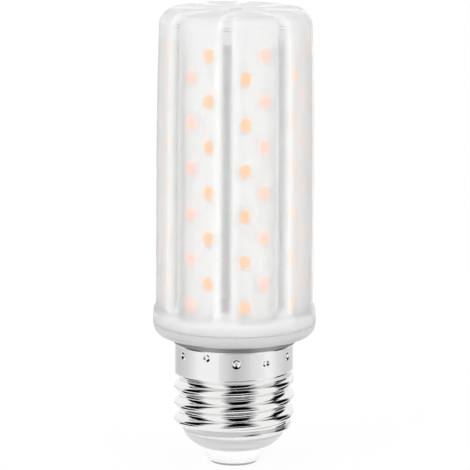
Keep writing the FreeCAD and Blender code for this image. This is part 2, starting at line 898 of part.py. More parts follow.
driver_body = new_body("driver_board")
driver_sketch = sketch_on(driver_body, "driver_profile", "XZ_Plane", "-driver_face")
outline(
    driver_sketch,
    [
        ("-driver_width / 2", "driver_foot_height"),
        ("driver_width / 2", "driver_foot_height"),
        ("driver_width / 2", "driver_top_height"),
        ("-driver_width / 2", "driver_top_height"),
    ],
)


def sides(middle, apart):
    # The same two places as a pair's, as formulas for the board's holes.
    return [f"{middle} - {apart} / 2", f"{middle} + {apart} / 2"]


pin_places = [
    (across, "bulk_capacitor_foot - pin_drop")
    for across in sides("bulk_capacitor_across", "bulk_capacitor_pins")
]
pin_places += [(across, "choke_foot - 2 * pin_drop") for across in sides("choke_across", "choke_pins")]
pin_places += [
    (across, "film_middle_height")
    for across in sides("right_parts_across", "film_capacitor_pins")
]
pin_places += [
    (across, height)
    for across in sides("right_parts_across", "bridge_pins")
    for height in ("bridge_foot + bridge_pin_inset", "bridge_foot + bridge_length - bridge_pin_inset")
]
pin_places += [(across, "fuse_middle_height") for across in ("-fuse_pins / 2", "fuse_pins / 2")]
for across, height in pin_places:
    left, right = f"{across} - pin_hole_half", f"{across} + pin_hole_half"
    low, high = f"{height} - pin_hole_half", f"{height} + pin_hole_half"
    outline(driver_sketch, [(left, low), (right, low), (right, high), (left, high)])
pad(driver_body, "driver_plate", driver_sketch, "driver_thickness")


# Wires

wire = value("wire_radius")
wire_depth = value("wire_depth")
stem_top = value("contact_thickness + contact_stem_rise")
live_wire = built(
    "live_wire",
    bent_rod(
        [
            FreeCAD.Vector(0, 0, stem_top),
            FreeCAD.Vector(0, 0, stem_top + value("live_wire_rise / 4")),
            FreeCAD.Vector(0, -wire_depth, stem_top + value("live_wire_rise / 2")),
            FreeCAD.Vector(0, -wire_depth, stem_top + value("live_wire_rise")),
        ],
        wire,
    ),
)
neutral_across = value("neutral_wire_across")
neutral_height = value("neutral_wire_height")
neutral_wire = built(
    "neutral_wire",
    bent_rod(
        [
            FreeCAD.Vector(neutral_across, wire_depth, value("driver_foot_height + neutral_wire_lap")),
            FreeCAD.Vector(neutral_across, wire_depth, neutral_height),
            FreeCAD.Vector(value("neutral_wire_reach"), wire_depth, neutral_height),
        ],
        wire,
    ),
)
led_wire_foot = value("shelf_height + link_thickness + led_wire_tail - led_wire_length")
led_wire_length = value("led_wire_length")
feeds = [
    built(label, rod(wire, led_wire_length, value(across), -wire_depth, led_wire_foot))
    for label, across in (("led_wire_negative", "-led_wire_across"), ("led_wire_positive", "led_wire_across"))
]

pieces = [
    shell, contact, insulator, housing, cover, top_link, bottom_link, driver_body, bulk_capacitor,
    film_capacitor, bridge, fuse, choke, winding, chip, sense_resistor, live_wire, neutral_wire,
] + feeds + strips

doc.recompute()
for feature in doc.Objects:
    if "Invalid" in feature.State or "Error" in feature.State:
        raise RuntimeError(f"{feature.Label} failed to build")
os.makedirs("parts", exist_ok=True)
for piece in pieces:
    if piece.Shape.isNull() or not piece.Shape.isValid():
        raise RuntimeError(f"{piece.Label} has no valid shape")
    piece.Shape.exportStep(f"parts/{piece.Label}.step")
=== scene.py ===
import math

import bmesh
import bpy
from mathutils import Matrix, Vector


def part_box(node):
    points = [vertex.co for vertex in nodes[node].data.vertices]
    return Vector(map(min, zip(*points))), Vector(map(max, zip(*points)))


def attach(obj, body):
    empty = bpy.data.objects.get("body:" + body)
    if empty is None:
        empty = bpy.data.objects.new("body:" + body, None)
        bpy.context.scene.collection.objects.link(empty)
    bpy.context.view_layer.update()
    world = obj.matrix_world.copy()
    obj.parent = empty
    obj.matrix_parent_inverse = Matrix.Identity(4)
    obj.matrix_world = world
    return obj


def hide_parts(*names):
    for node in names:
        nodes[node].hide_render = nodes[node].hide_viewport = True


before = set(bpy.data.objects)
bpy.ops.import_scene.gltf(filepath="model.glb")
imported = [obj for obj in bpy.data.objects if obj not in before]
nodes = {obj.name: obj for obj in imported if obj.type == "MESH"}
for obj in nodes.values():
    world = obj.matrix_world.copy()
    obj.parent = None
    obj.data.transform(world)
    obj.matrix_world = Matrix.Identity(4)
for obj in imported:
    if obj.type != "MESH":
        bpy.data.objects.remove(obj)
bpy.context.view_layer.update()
mm = 0.001  # every size below is in millimetres, every mesh in metres
print("frame loaded:", len(nodes), "nodes")


# Helpers for meshes and materials

def smoothStep(low, high, value):
    share = min(max((value - low) / (high - low), 0.0), 1.0)
    return share * share * (3 - 2 * share)


def turnSkin(points, steps):
    # Turns an open line of (radius, height) about the lamp's axis, with the faces outwards
    bm = bmesh.new()
    verts = [bm.verts.new((radius * mm, 0, height * mm)) for radius, height in points]
    for first, second in zip(verts, verts[1:]):
        bm.edges.new((first, second))
    bmesh.ops.spin(
        bm, geom=bm.verts[:] + bm.edges[:], cent=(0, 0, 0), axis=(0, 0, 1), dvec=(0, 0, 0),
        angle=2 * math.pi, steps=steps, use_merge=True, use_normal_flip=False, use_duplicate=False,
    )
    bmesh.ops.remove_doubles(bm, verts=bm.verts[:], dist=1e-7)
    bmesh.ops.recalc_face_normals(bm, faces=bm.faces[:])
    return bm


def turnClosed(points, steps):
    # Turns a closed outline, which may touch the axis with its first and last points
    ends = [] if points[0][0] < 1e-6 and points[-1][0] < 1e-6 else [points[0]]
    return turnSkin(list(points) + ends, steps)


def arcPoints(centre, radius, startDegrees, endDegrees, count):
    points = []
    for i in range(count + 1):
        angle = math.radians(startDegrees + (endDegrees - startDegrees) * i / count)
        points.append((centre[0] + radius * math.cos(angle), centre[1] + radius * math.sin(angle)))
    return points


def linePoints(start, end, count):
    # Points after start up to end
    return [
        (start[0] + (end[0] - start[0]) * i / count, start[1] + (end[1] - start[1]) * i / count)
        for i in range(1, count + 1)
    ]


def smoothLine(points, height):
    # A smooth line through points of (radius, height), read at one height
    last = len(points) - 1
    i = min(max(sum(height >= point[1] for point in points) - 1, 0), last - 1)
    slopes = []
    for k in (i, i + 1):
        low, high = points[max(k - 1, 0)], points[min(k + 1, last)]
        slopes.append((high[0] - low[0]) / (high[1] - low[1]))
    span = points[i + 1][1] - points[i][1]
    t = (height - points[i][1]) / span
    near, far = (1 + 2 * t) * (1 - t) ** 2, t * t * (3 - 2 * t)
    bend = t * (1 - t) ** 2 * slopes[0] + t * t * (t - 1) * slopes[1]
    return near * points[i][0] + far * points[i + 1][0] + bend * span


def addPiece(name, bm, materials, replaced, smooth=True):
    mesh = bpy.data.meshes.new(name)
    bm.to_mesh(mesh)
    bm.free()
    for material in materials:
        mesh.materials.append(material)
    if smooth:
        mesh.shade_smooth()
    piece = bpy.data.objects.new(name, mesh)
    bpy.context.collection.objects.link(piece)
    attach(piece, "root")
    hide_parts(replaced)
    return piece


def newMaterial(name, color, roughness, **sockets):
    material = bpy.data.materials.new(name)
    material.use_nodes = True
    shader = material.node_tree.nodes["Principled BSDF"]
    shader.inputs["Base Color"].default_value = (*color, 1)
    shader.inputs["Roughness"].default_value = roughness
    for socket, amount in sockets.items():
        shader.inputs[socket.replace("_", " ")].default_value = amount
    return material


def noiseBump(material, scale, strength, distance=0.05):
    # Fine unevenness of a moulded or plated skin
    tree = material.node_tree
    shader = tree.nodes["Principled BSDF"]
    coords = tree.nodes.new("ShaderNodeTexCoord")
    noise = tree.nodes.new("ShaderNodeTexNoise")
    bump = tree.nodes.new("ShaderNodeBump")
    noise.inputs["Scale"].default_value = scale
    noise.inputs["Detail"].default_value = 3
    bump.inputs["Strength"].default_value = strength
    bump.inputs["Distance"].default_value = distance * mm
    tree.links.new(coords.outputs["Object"], noise.inputs["Vector"])
    tree.links.new(noise.outputs["Fac"], bump.inputs["Height"])
    tree.links.new(bump.outputs["Normal"], shader.inputs["Normal"])


def mottledColor(material, colorA, colorB, scale, stretch=(1, 1, 1), band=(0, 1)):
    # Two shades mixed by noise, which the stretch can draw out into streaks
    tree = material.node_tree
    coords = tree.nodes.new("ShaderNodeTexCoord")
    mapping = tree.nodes.new("ShaderNodeMapping")
    noise = tree.nodes.new("ShaderNodeTexNoise")
    ramp = tree.nodes.new("ShaderNodeValToRGB")
    mapping.inputs["Scale"].default_value = stretch
    noise.inputs["Scale"].default_value = scale
    for element, color, position in zip(ramp.color_ramp.elements, (colorA, colorB), band):
        element.color = (*color, 1)
        element.position = position
    tree.links.new(coords.outputs["Object"], mapping.inputs["Vector"])
    tree.links.new(mapping.outputs["Vector"], noise.inputs["Vector"])
    tree.links.new(noise.outputs["Fac"], ramp.inputs["Fac"])
    tree.links.new(ramp.outputs["Color"], tree.nodes["Principled BSDF"].inputs["Base Color"])


def linkMath(tree, operation, first, second):
    # A math node fed by two sockets or numbers
    node = tree.nodes.new("ShaderNodeMath")
    node.operation = operation
    for socket, source in zip(node.inputs, (first, second)):
        if isinstance(source, (int, float)):
            socket.default_value = source
        else:
            tree.links.new(source, socket)
    return node.outputs["Value"]


# Frosted cover

coverLow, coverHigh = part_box("cover")
coverStyle = {
    "collarRadius": coverHigh.x / mm,
    "collarFoot": coverLow.z / mm,
    "collarTop": 33.15,
    "blendTop": 35.2,
    "footRadius": 17.1,
    "middleRadius": 17.03,
    "middleHeight": 67.0,
    "topRadius": 16.55,
    "height": coverHigh.z / mm,
    "shoulderRound": 3.3,
    "wall": 0.8,
    "crownWall": 1.1,
    "collarEdge": 0.15,
    "gateRadius": 1.1,
    "gateBall": 2.17,
    "gateBallRise": 1.87,
    "gateBallStart": -59.5,
    "flutes": 8,
    "flutePhase": -5.8,
    "fluteCutter": 1.96,
    "fluteDepth": 0.9,
    "scallopCutter": 6.5,
    "crownDepth": 0.45,
    "crownEnd": 4.0,
    "runOutLow": 33.7,
    "runOutHigh": 37.0,
    "edgeSoftness": 0.16,
    # Frosting beside the grooves paints light over the shaded board edges; lip and crown-rim frosting paint
    # highlights
    "besideFrom": 1.86,
    "besideTo": 3.26,
    "besideLightFrost": 0.5,
    "lipHighlightFrost": 0.75,
    "frostTop": 34.5,
    "frostFlare": 1.6,
    "collarFrost": 0.5,
    "crownFrost": 0.3,
    "crownFrostFrom": 8.0,
    "crownFrostTo": 3.5,
    "crownRim": 13.0,
    "crownRimWidth": 0.7,
    "ribPitch": 0.47,
    "ribShade": 0.25,
    "ribDepth": 0.1,
    "topRibs": (96.9, 97.5),
    "topRibWidth": 0.16,
    "drawLineShade": 0.15,
    "shadeTint": 0.55,
    "steps": 640,
    "color": (0.99, 0.992, 0.99),
    "roughness": 0.52,
    "transmission": 0.83,
    "frostedTransmission": 0.4,
}


def coverRadius(height):
    c = coverStyle
    if height <= c["collarTop"]:
        return c["collarRadius"]
    if height <= c["blendTop"]:
        share = (height - c["collarTop"]) / (c["blendTop"] - c["collarTop"])
        return c["footRadius"] + (c["collarRadius"] - c["footRadius"]) * (1 - share ** 2) ** 0.7
    if height <= c["middleHeight"]:
        share = (height - c["blendTop"]) / (c["middleHeight"] - c["blendTop"])
        return c["footRadius"] + (c["middleRadius"] - c["footRadius"]) * share
    shoulder = c["height"] - c["shoulderRound"]
    share = (height - c["middleHeight"]) / (shoulder - c["middleHeight"])
    return c["middleRadius"] + (c["topRadius"] - c["middleRadius"]) * share ** 1.6


def groovedDepth(across, depth, cutter):
    # How far a round cutter goes in at that distance from the groove's middle, with soft edges
    inside = math.sqrt(max(cutter ** 2 - across ** 2, 0))
    cutIn = depth - (cutter - inside) - 2 * max(abs(across) - cutter, 0)
    soft = coverStyle["edgeSoftness"]
    return (cutIn + math.sqrt(cutIn ** 2 + soft ** 2)) / 2 * smoothStep(0, 0.2, depth)


def fluteInwards(bm, wallInset):
    # Presses the grooves into one skin of the cover, along the skin's own normal, and notes on each vertex
    # how deep it lies in a groove and how near to one
    c = coverStyle
    bm.normal_update()
    shoulder = c["height"] - c["shoulderRound"]
    grooveLayer = bm.verts.layers.float.new("groove")
    besideLayer = bm.verts.layers.float.new("beside")
    low, high = c["runOutLow"] + wallInset * 2, c["runOutHigh"]
    spacing = 2 * math.pi / c["flutes"]
    moves = []
    for vert in bm.verts:
        radius = math.hypot(vert.co.x, vert.co.y) / mm
        height = vert.co.z / mm
        if height < low or radius < 0.5:
            continue
        angle = math.atan2(vert.co.y, vert.co.x) - math.radians(c["flutePhase"] - 90)
        angle -= spacing * round(angle / spacing)
        across = radius * math.sin(angle)
        depth, cutter = c["fluteDepth"], c["fluteCutter"] + wallInset
        if height > shoulder:
            rise = min(math.asin(min((height - shoulder) / c["shoulderRound"], 1)) / (math.pi / 2), 1)
            depth += (c["crownDepth"] - c["fluteDepth"]) * rise
            if rise > 0.98:
                reach = c["topRadius"] - c["shoulderRound"]
                depth = c["crownDepth"] * smoothStep(c["crownEnd"] - 1.5, reach, radius)
        elif height < high:
            out = 1 - smoothStep(low, high, height)
            local = c["footRadius"] - wallInset if wallInset else coverRadius(height)
            floor = c["footRadius"] - wallInset - c["fluteDepth"]
            floor += (c["collarRadius"] - floor - wallInset) * out
            depth = max(local - floor, 0)
            cutter += (c["scallopCutter"] - c["fluteCutter"]) * out
        pressed = groovedDepth(across, depth, cutter)
        normal = vert.normal.copy()
        flat = Vector((vert.co.x, vert.co.y, 0)).normalized()
        sideways = normal - flat * normal.dot(flat) - Vector((0, 0, normal.z))
        heading = flat if height < high else (normal - sideways).normalized()
        moves.append((vert, -heading * pressed * mm, pressed))
        vert[besideLayer] = 1 - smoothStep(c["besideFrom"], c["besideTo"], abs(across))
    for vert, move, pressed in moves:
        vert.co += move
        vert[grooveLayer] = min(pressed / c["fluteDepth"], 1)


def frostAndLightSkin(bm):
    # More frosting on the collar and towards the crown. The extra frosting on the grooves' lips and the
    # crown's rim
    # is a painted highlight, and beside the grooves it is painted light over the shaded board edges behind
    c = coverStyle
    grooveLayer = bm.verts.layers.float["groove"]
    besideLayer = bm.verts.layers.float["beside"]
    frostAndLightLayer = bm.verts.layers.float.new("frostAndPaintedLight")
    for vert in bm.verts:
        share = vert[grooveLayer]
        height = vert.co.z / mm
        # Lip and crown-rim frosting paints highlights; frosting beside the grooves paints light over shaded
        # board edges
        lip = c["lipHighlightFrost"] * smoothStep(0.02, 0.12, share) * (1 - smoothStep(0.2, 0.5, share))
        beside = c["besideLightFrost"] * vert[besideLayer] * (1 - 0.5 * smoothStep(0.5, 0.95, share))
        edge = c["frostTop"] + c["frostFlare"] * vert[besideLayer]
        collar = c["collarFrost"] * (1 - smoothStep(edge - 1.0, edge, height))
        top = smoothStep(c["height"] - c["crownFrostFrom"], c["height"] - c["crownFrostTo"], height)
        away = abs(math.hypot(vert.co.x, vert.co.y) / mm - c["crownRim"])
        rim = 1 - smoothStep(0, c["crownRimWidth"], away) if height > c["height"] - 1 else 0
        vert[frostAndLightLayer] = max(lip, beside, collar, c["crownFrost"] * top, rim)


def coverSkin(inset, crownInset):
    # One skin of the cover from its foot to the middle of the crown
    c = coverStyle
    footRings, bodyRings, cornerRings, crownRings = (12, 6, 12, 8) if inset else (8, 14, 24, 16)
    shoulder = c["height"] - c["shoulderRound"]
    corner = c["shoulderRound"] - inset
    edge = c["collarEdge"]
    if inset == 0:
        points = [
            (c["footRadius"] - c["wall"], c["collarFoot"]),
            (c["collarRadius"] - edge, c["collarFoot"]),
            (c["collarRadius"] - 0.04, c["collarFoot"] + 0.04),
            (c["collarRadius"], c["collarFoot"] + edge),
            (c["collarRadius"], c["collarFoot"] + 1.0),
        ]
        blendHeights = [c["collarTop"] + (c["blendTop"] - c["collarTop"]) * i / 14 for i in range(15)]
        points += [(coverRadius(height), height) for height in blendHeights]
        low = c["blendTop"]
    else:
        points = [(c["footRadius"] - inset, c["collarFoot"])]
        low = c["collarFoot"]
    heights = [low + (c["runOutHigh"] - low) * i / footRings for i in range(1, footRings + 1)]
    low, high = c["runOutHigh"], shoulder - crownInset + inset
    heights += [low + (high - low) * i / bodyRings for i in range(1, bodyRings + 1)]
    points += [(coverRadius(max(height, c["blendTop"])) - inset, height) for height in heights]
    centre = (c["topRadius"] - c["shoulderRound"], c["height"] - crownInset - corner)
    points += arcPoints(centre, corner, 0, 90, cornerRings)[1:]
    crown = points[-1]
    points += linePoints(crown, (c["gateRadius"], crown[1]), crownRings)
    if inset:
        return points + [(0, crown[1])]
    gateCentre = (0, crown[1] + c["gateBallRise"])
    return points + arcPoints(gateCentre, c["gateBall"], c["gateBallStart"], -90, 4)[1:]


def buildCover():
    c = coverStyle
    both = bmesh.new()
    for points, inset in ((coverSkin(0, 0), 0), (coverSkin(c["wall"], c["crownWall"]), c["wall"])):
        skin = turnSkin(points, c["steps"])
        fluteInwards(skin, inset)
        frostAndLightSkin(skin)
        if inset:
            bmesh.ops.reverse_faces(skin, faces=skin.faces[:])
        part = bpy.data.meshes.new("skin")
        skin.to_mesh(part)
        skin.free()
        both.from_mesh(part)
        bpy.data.meshes.remove(part)
    bmesh.ops.remove_doubles(both, verts=[v for v in both.verts if v.is_boundary], dist=1e-6)
    return both


coverPlastic = newMaterial(
    "frostedPlastic", coverStyle["color"], coverStyle["roughness"],
    Transmission_Weight=coverStyle["transmission"], IOR=1.3, Specular_IOR_Level=0.3,
)


def mouldedSkin(material):
    # Level ribs on the groove floors, two stronger ones at their tops, faint draw lines, and less light let
    # through where the skin has more frosting. The ribs and the two top ribs also darken the base colour on
    # the groove floors, which is painted shade.
    c = coverStyle
    tree = material.node_tree
    shader = tree.nodes["Principled BSDF"]
    coords = tree.nodes.new("ShaderNodeTexCoord").outputs["Object"]
    wave = tree.nodes.new("ShaderNodeTexWave")
    wave.bands_direction = "Z"
    wave.inputs["Scale"].default_value = math.pi / 10 / (c["ribPitch"] * mm)
    groove = tree.nodes.new("ShaderNodeAttribute")
    groove.attribute_name = "groove"
    frostAndPaintedLight = tree.nodes.new("ShaderNodeAttribute")
    frostAndPaintedLight.attribute_name = "frostAndPaintedLight"
    height = tree.nodes.new("ShaderNodeSeparateXYZ")
    tree.links.new(coords, wave.inputs["Vector"])
    tree.links.new(coords, height.inputs["Vector"])
    topRibs = 0.0
    for level in c["topRibs"]:
        away = linkMath(tree, "ABSOLUTE", linkMath(tree, "SUBTRACT", height.outputs["Z"], level * mm), 0)
        near = linkMath(tree, "SUBTRACT", 1.0, linkMath(tree, "DIVIDE", away, c["topRibWidth"] * mm))
        topRibs = linkMath(tree, "ADD", topRibs, linkMath(tree, "MAXIMUM", near, 0.0))
    # Painted shade: the ribs darken the groove floors' colour through the tint below, as well as bumping them
    ribs = linkMath(tree, "MULTIPLY", wave.outputs["Fac"], c["ribShade"])
    floor = linkMath(tree, "POWER", groove.outputs["Fac"], 3.0)
    ribs = linkMath(tree, "MULTIPLY", linkMath(tree, "ADD", ribs, topRibs), floor)
    stretch = tree.nodes.new("ShaderNodeMapping")
    stretch.inputs["Scale"].default_value = (1, 1, 0.004)
    drawLines = tree.nodes.new("ShaderNodeTexNoise")
    drawLines.inputs["Scale"].default_value = 900
    tree.links.new(coords, stretch.inputs["Vector"])
    tree.links.new(stretch.outputs["Vector"], drawLines.inputs["Vector"])
    drawShade = linkMath(tree, "SUBTRACT", drawLines.outputs["Fac"], 0.5)
    drawShade = linkMath(tree, "MULTIPLY", drawShade, c["drawLineShade"])
    shade = linkMath(tree, "MAXIMUM", linkMath(tree, "ADD", ribs, drawShade), 0.0)
    tint = tree.nodes.new("ShaderNodeMix")
    tint.data_type = "RGBA"
    tint.inputs["A"].default_value = (*c["color"], 1)
    tint.inputs["B"].default_value = (*(c["shadeTint"] * part for part in c["color"]), 1)
    tree.links.new(shade, tint.inputs["Factor"])
    tree.links.new(tint.outputs["Result"], shader.inputs["Base Color"])
    # Transmission falls with this mask, which also carries the painted lip and rim highlights and the painted
    # light beside the grooves
    clear = tree.nodes.new("ShaderNodeMapRange")
    clear.inputs["To Min"].default_value = c["transmission"]
    clear.inputs["To Max"].default_value = c["frostedTransmission"]
    tree.links.new(frostAndPaintedLight.outputs["Fac"], clear.inputs["Value"])
    tree.links.new(clear.outputs["Result"], shader.inputs["Transmission Weight"])
    bump = tree.nodes.new("ShaderNodeBump")
    bump.inputs["Strength"].default_value = 0.8
    bump.inputs["Distance"].default_value = c["ribDepth"] * mm
    tree.links.new(ribs, bump.inputs["Height"])
    tree.links.new(bump.outputs["Normal"], shader.inputs["Normal"])


mouldedSkin(coverPlastic)
cover = addPiece("flutedCover", buildCover(), [coverPlastic], "cover")
print("cover made:", len(cover.data.polygons), "faces")


# Screw shell

shellLow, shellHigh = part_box("screw_shell")
shellStyle = {
    "sheet": 0.3,
    "shoulder": [
        (8.0, 4.0), (8.96, 4.6), (10.06, 5.55), (10.68, 6.3), (11.05, 7.1), (11.5, 7.9), (12.085, 8.95),
    ],
    "threadFoot": 7.3,
    "threadFull": 9.0,
    "threadTop": 20.4,
    "threadTopRise": 0.5,
    "threadEnd": 21.2,
    "rootFade": (0.75, 0.25),
    "crestFade": (0.5, 0.3),
    "rootRadius": 12.085,
    "crestRadius": 13.18,
    "knuckleRadius": 1.025,
    "pitch": 3.629,
    "crestOnRight": 7.85,
    "skirtRadius": 13.02,
    "rimFoot": 26.85,
    "rimTop": shellHigh.z / mm,
    "rimRadius": shellHigh.x / mm,
    "rimFlare": 0.2,
    "rimEdge": 0.2,
    "flareRings": 0.25,
    "crimps": 12,
    "crimpTurn": 3.2,
    "crimpHeight": 24.75,
    "crimpShifts": {-2: 0.2, -1: 0.68, 0: -0.34, 1: -0.55, 2: 0.04},
    "crimpRadius": 1.0,
    "crimpDepth": 0.45,
    "steps": 400,
    "color": (0.86, 0.86, 0.855),
    "roughness": 0.1,
    # The rim's dark nickel is painted shade under the bowl's overhang
    "rimShadeColor": (0.32, 0.32, 0.32),
    "rimRoughness": 0.3,
    # Darker nickel on the shoulder and the lowest thread roots is painted shade, its tone varied in rings by
    # noise
    "shoulderDark": (0.54, 0.54, 0.54),
    "shoulderPale": (0.7, 0.7, 0.7),
    "shoulderRoughness": 0.22,
    "shoulderReach": 9.3,
    "shoulderKnuckle": 0.35,
}


def knuckle(height, angle):
    # One on the thread's crest, none at its root, with both made as round arcs
    s = shellStyle
    turn = (height - s["crestOnRight"]) / s["pitch"] - angle / (2 * math.pi)
    apart = abs(turn - round(turn)) * s["pitch"]
    depth = s["crestRadius"] - s["rootRadius"]
    if apart > s["pitch"] / 4:
        inner = s["pitch"] / 2 - apart
        return (s["knuckleRadius"] - math.sqrt(s["knuckleRadius"] ** 2 - inner ** 2)) / depth
    return 1 - (s["knuckleRadius"] - math.sqrt(s["knuckleRadius"] ** 2 - apart ** 2)) / depth


def shellRadius(height, angle):
    # Radius of the pressed sheet's outer skin there
    s = shellStyle
    if height > s["rimFoot"] - s["rimFlare"]:
        flare = smoothStep(s["rimFoot"] - s["rimFlare"], s["rimFoot"] + s["rimFlare"], height)
        edge = max(height - s["rimTop"] + s["rimEdge"], 0)
        return s["skirtRadius"] + (s["rimRadius"] - s["skirtRadius"]) * flare - edge ** 2
    if height < s["threadFoot"]:
        return smoothLine(s["shoulder"], height)
    full = s["shoulder"][-1][1]
    base = smoothLine(s["shoulder"], height) if height < full else s["rootRadius"]
    top = s["threadTop"] + s["threadTopRise"] * math.cos(angle)
    base += (s["skirtRadius"] - base) * smoothStep(top - s["rootFade"][0], top + s["rootFade"][1], height)
    share = smoothStep(s["threadFoot"], s["threadFull"], height)
    share *= 1 - smoothStep(top - s["crestFade"][0], top + s["crestFade"][1], height)
    return base + max(s["crestRadius"] - base, 0) * knuckle(height, angle) * share


def crimpDent(height, angle):
    # How far the nearest crimp presses the skirt in
    s = shellStyle
    spacing = 360 / s["crimps"]
    place = math.degrees(angle) + 90 - s["crimpTurn"]
    index = round(place / spacing)
    across = math.radians(place - spacing * index) * s["skirtRadius"]
    apart = math.hypot(across, height - s["crimpHeight"] - s["crimpShifts"].get(index, 0))
    if apart >= s["crimpRadius"]:
        return 0
    return s["crimpDepth"] * smoothStep(0, 1, 1 - apart / s["crimpRadius"])


def buildShell():
    s = shellStyle
    lip = shellLow.z / mm
    marks = [lip, s["threadFoot"], s["threadEnd"], s["rimFoot"] - s["flareRings"]]
    marks += [s["rimFoot"] + s["flareRings"], s["rimTop"] - s["rimEdge"], s["rimTop"]]
    heights = [lip]
    for low, high, count in zip(marks, marks[1:], (16, 93, 25, 6, 3, 3)):
        heights += [low + (high - low) * i / count for i in range(1, count + 1)]
    outerMark = 20  # a radius beyond the shell, which tells the outer skin that is shaped below
    outline = [(outerMark, height) for height in heights]
    inner = s["skirtRadius"] - s["sheet"]
    root = s["rootRadius"] - s["sheet"]
    lipInner = s["shoulder"][0][0] - s["sheet"]
    innerTop = s["threadTop"] - s["threadTopRise"]
    outline += [(inner, s["rimTop"]), (inner, innerTop), (root, innerTop)]
    outline += [(root, s["shoulder"][-1][1]), (lipInner, lip + 0.08), (lipInner, lip)]
    bm = turnClosed(outline, s["steps"])
    for vert in bm.verts:
        if math.hypot(vert.co.x, vert.co.y) < (outerMark - 1) * mm:
            continue
        angle = math.atan2(vert.co.y, vert.co.x)
        height = vert.co.z / mm
        radius = (shellRadius(height, angle) - crimpDent(height, angle)) * mm
        vert.co = (radius * math.cos(angle), radius * math.sin(angle), vert.co.z)
    bmesh.ops.recalc_face_normals(bm, faces=bm.faces[:])
    # The rim, and the shoulder with its lower thread roots, take darker nickels, which paint shade
    for face in bm.faces:
        centre = face.calc_center_median()
        height = centre.z / mm
        root = knuckle(height, math.atan2(centre.y, centre.x)) < s["shoulderKnuckle"]
        shoulder = height < s["threadFoot"] or root and height < s["shoulderReach"]
        face.material_index = 1 if height > s["rimFoot"] + 0.1 else 2 if shoulder else 0
    return bm


nickel = newMaterial("nickelPlate", shellStyle["color"], shellStyle["roughness"], Metallic=1.0)
noiseBump(nickel, 260, 0.05)
rimShadedNickel = newMaterial("rimShadedNickel", shellStyle["rimShadeColor"], shellStyle["rimRoughness"], Metallic=1.0)
noiseBump(rimShadedNickel, 260, 0.05)
shoulderShadedNickel = newMaterial(
    "shoulderShadedNickel", shellStyle["shoulderPale"], shellStyle["shoulderRoughness"], Metallic=1.0,
)
shades = (shellStyle["shoulderDark"], shellStyle["shoulderPale"])
mottledColor(shoulderShadedNickel, *shades, 900, stretch=(0.08, 0.08, 1), band=(0.35, 0.65))
nickels = [nickel, rimShadedNickel, shoulderShadedNickel]
shell = addPiece("threadedShell", buildShell(), nickels, "screw_shell")
shell.data.set_sharp_from_angle(angle=math.radians(50))
print("screw shell made:", len(shell.data.polygons), "faces")


# Base housing, insulator and contact

housingLow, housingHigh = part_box("base_housing")
housingStyle = {
    "neckFoot": housingLow.z / mm,
    "plugTop": housingHigh.z / mm,
    "bowl": [(14.41, 28.1), (16.1, 28.6), (16.85, 29.1), (17.45, 29.95), (17.7, 31.2)],
    "neckWall": 1.3,
    "neckClearance": 0.15,
    "plugClearance": 0.1,
    "partingEdge": 0.12,
    "steps": 256,
    # The bowl's grey is painted shade on white plastic that faces down; the plug above the parting is a paler
    # copy
    "color": (0.52, 0.52, 0.515),
    "plugColor": (0.8, 0.8, 0.795),
}


def buildHousing():
    h = housingStyle
    foot, parting = h["bowl"][0], h["bowl"][-1]
    neckRadius = shellStyle["skirtRadius"] - shellStyle["sheet"] - h["neckClearance"]
    neckBore = neckRadius - h["neckWall"]
    plugRadius = coverStyle["footRadius"] - coverStyle["wall"] - h["plugClearance"]
    points = [(neckBore, h["neckFoot"]), (neckRadius, h["neckFoot"]), (neckRadius, foot[1]), foot]
    heights = [foot[1] + (parting[1] - foot[1]) * (i / 20) ** 1.6 for i in range(1, 20)]
    points += [(smoothLine(h["bowl"], height), height) for height in heights if height < parting[1] - 0.2]
    points += [(parting[0], parting[1] - h["partingEdge"]), (parting[0] - h["partingEdge"], parting[1])]
    points += [(plugRadius, parting[1]), (plugRadius, h["plugTop"]), (neckBore, h["plugTop"])]
    bm = turnClosed(points, h["steps"])
    # Faces above the parting take the paler plug plastic; the bowl below keeps the painted shade
    for face in bm.faces:
        face.material_index = 1 if face.calc_center_median().z > (parting[1] - 0.01) * mm else 0
    return bm


bowlShadedPlastic = newMaterial("bowlShadedPlastic", housingStyle["color"], 0.35, IOR=1.5)
plugPlastic = newMaterial("plugPlastic", housingStyle["plugColor"], 0.4, IOR=1.5)
noiseBump(bowlShadedPlastic, 300, 0.03)
plastics = [bowlShadedPlastic, plugPlastic]
housing = addPiece("bowlHousing", buildHousing(), plastics, "base_housing")
housing.data.set_sharp_from_angle(angle=math.radians(35))


insulatorLow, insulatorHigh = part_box("cap_insulator")
insulatorStyle = {
    "foot": insulatorLow.z / mm,
    "top": insulatorHigh.z / mm,
    "flangeRadius": insulatorHigh.x / mm,
    "flangeThickness": 1.1,
    "bore": 1.25,
    "footRadius": 5.4,
    "footRise": 0.15,
    "footEdge": 5.6,
    "steps": 192,
    "color": (0.96, 0.965, 0.965),
    "roughness": 0.25,
}


def buildInsulator():
    s = insulatorStyle
    neck = shellStyle["shoulder"][0][0] - shellStyle["sheet"]
    lip = shellLow.z / mm
    flangeFoot = s["top"] - s["flangeThickness"]
    points = [
        (s["bore"], s["foot"]), (s["footRadius"], s["foot"]), (s["footEdge"], s["foot"] + s["footRise"]),
        (neck - 0.12, lip - 0.5), (neck, lip - 0.25), (neck, flangeFoot),
        (s["flangeRadius"], flangeFoot), (s["flangeRadius"], s["top"]), (s["bore"], s["top"]),
    ]
    return turnClosed(points, s["steps"])


insulatorPlastic = newMaterial(
    "insulatorPlastic", insulatorStyle["color"], insulatorStyle["roughness"], IOR=1.5,
)
noiseBump(insulatorPlastic, 400, 0.02)
insulator = addPiece("capInsulator", buildInsulator(), [insulatorPlastic], "cap_insulator")
insulator.data.set_sharp_from_angle(angle=math.radians(35))


